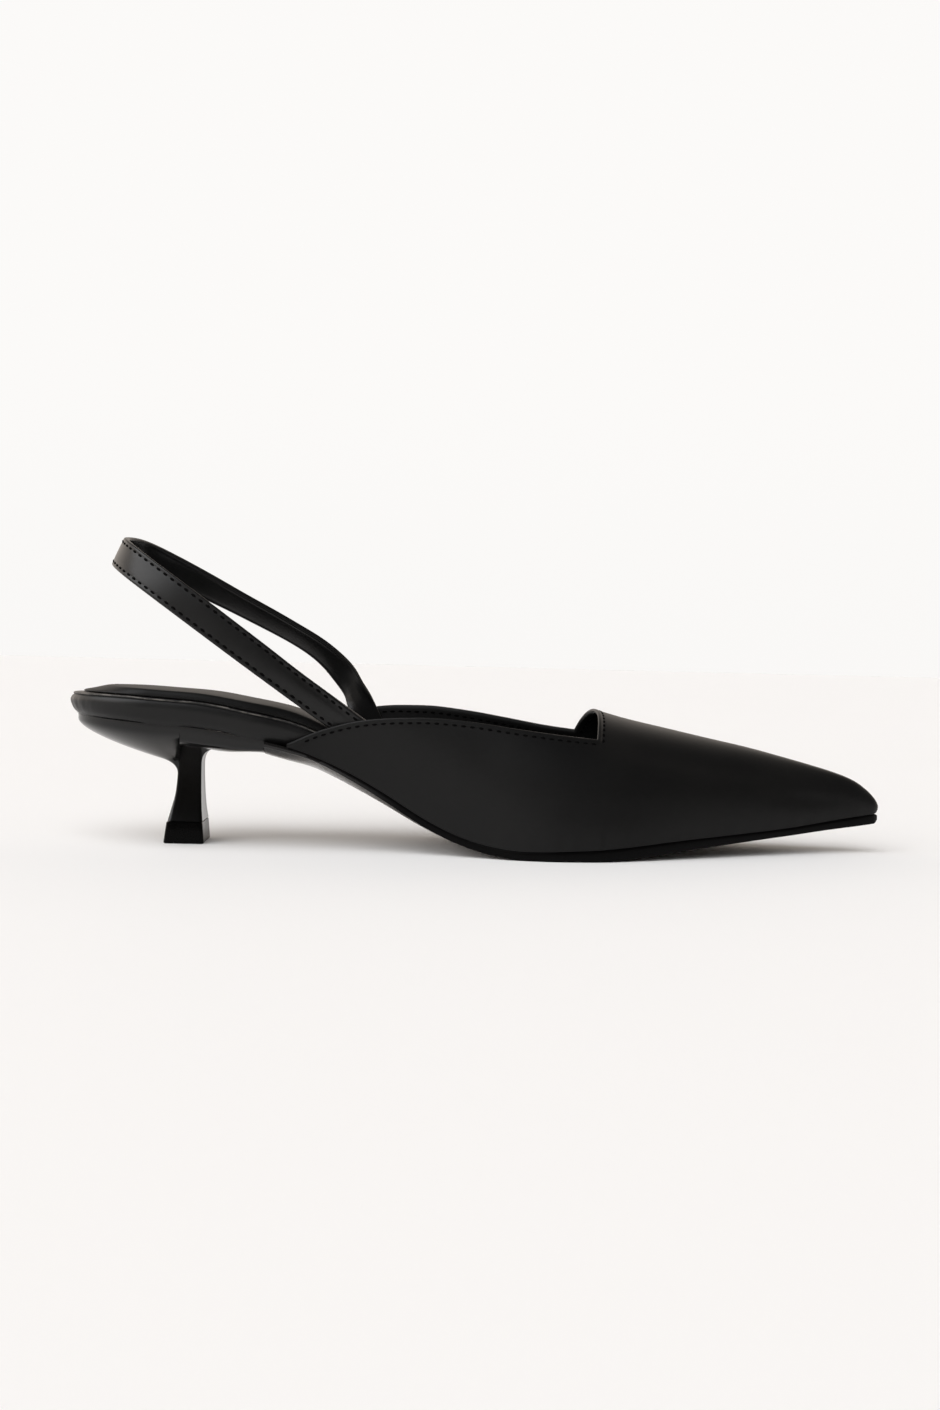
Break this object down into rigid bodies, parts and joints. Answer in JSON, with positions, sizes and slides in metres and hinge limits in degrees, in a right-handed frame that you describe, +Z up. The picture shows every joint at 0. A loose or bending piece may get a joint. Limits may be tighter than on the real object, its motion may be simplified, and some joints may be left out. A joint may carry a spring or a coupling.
{
  "type": "slingback shoe",
  "caption": "Black pointed-toe slingback shoe for the right foot, with a low square throat, a wrapped insole and a flared kitten heel.",
  "frame": {"origin": "on the floor under the middle of the shoe's bounding box", "axes": "+X towards the toe, +Y towards the inner side of the foot, +Z up"},
  "size_m": [0.2706, 0.0767, 0.0999],
  "materials": {
    "upper_leather": "matte black smooth leather with a fine grain",
    "insole_leather": "smooth satin black leather",
    "sole_rubber": "semi-gloss black sole",
    "heel_lacquer": "gloss black lacquer",
    "tip_rubber": "satin black rubber"
  },
  "bodies": {
    "root": {"upper": "upper_leather", "sling_strap": "upper_leather", "insole": "insole_leather", "sock_pad": "insole_leather", "outsole": "sole_rubber", "heel": "heel_lacquer", "top_lift": "tip_rubber"}
  },
  "joints": []
}
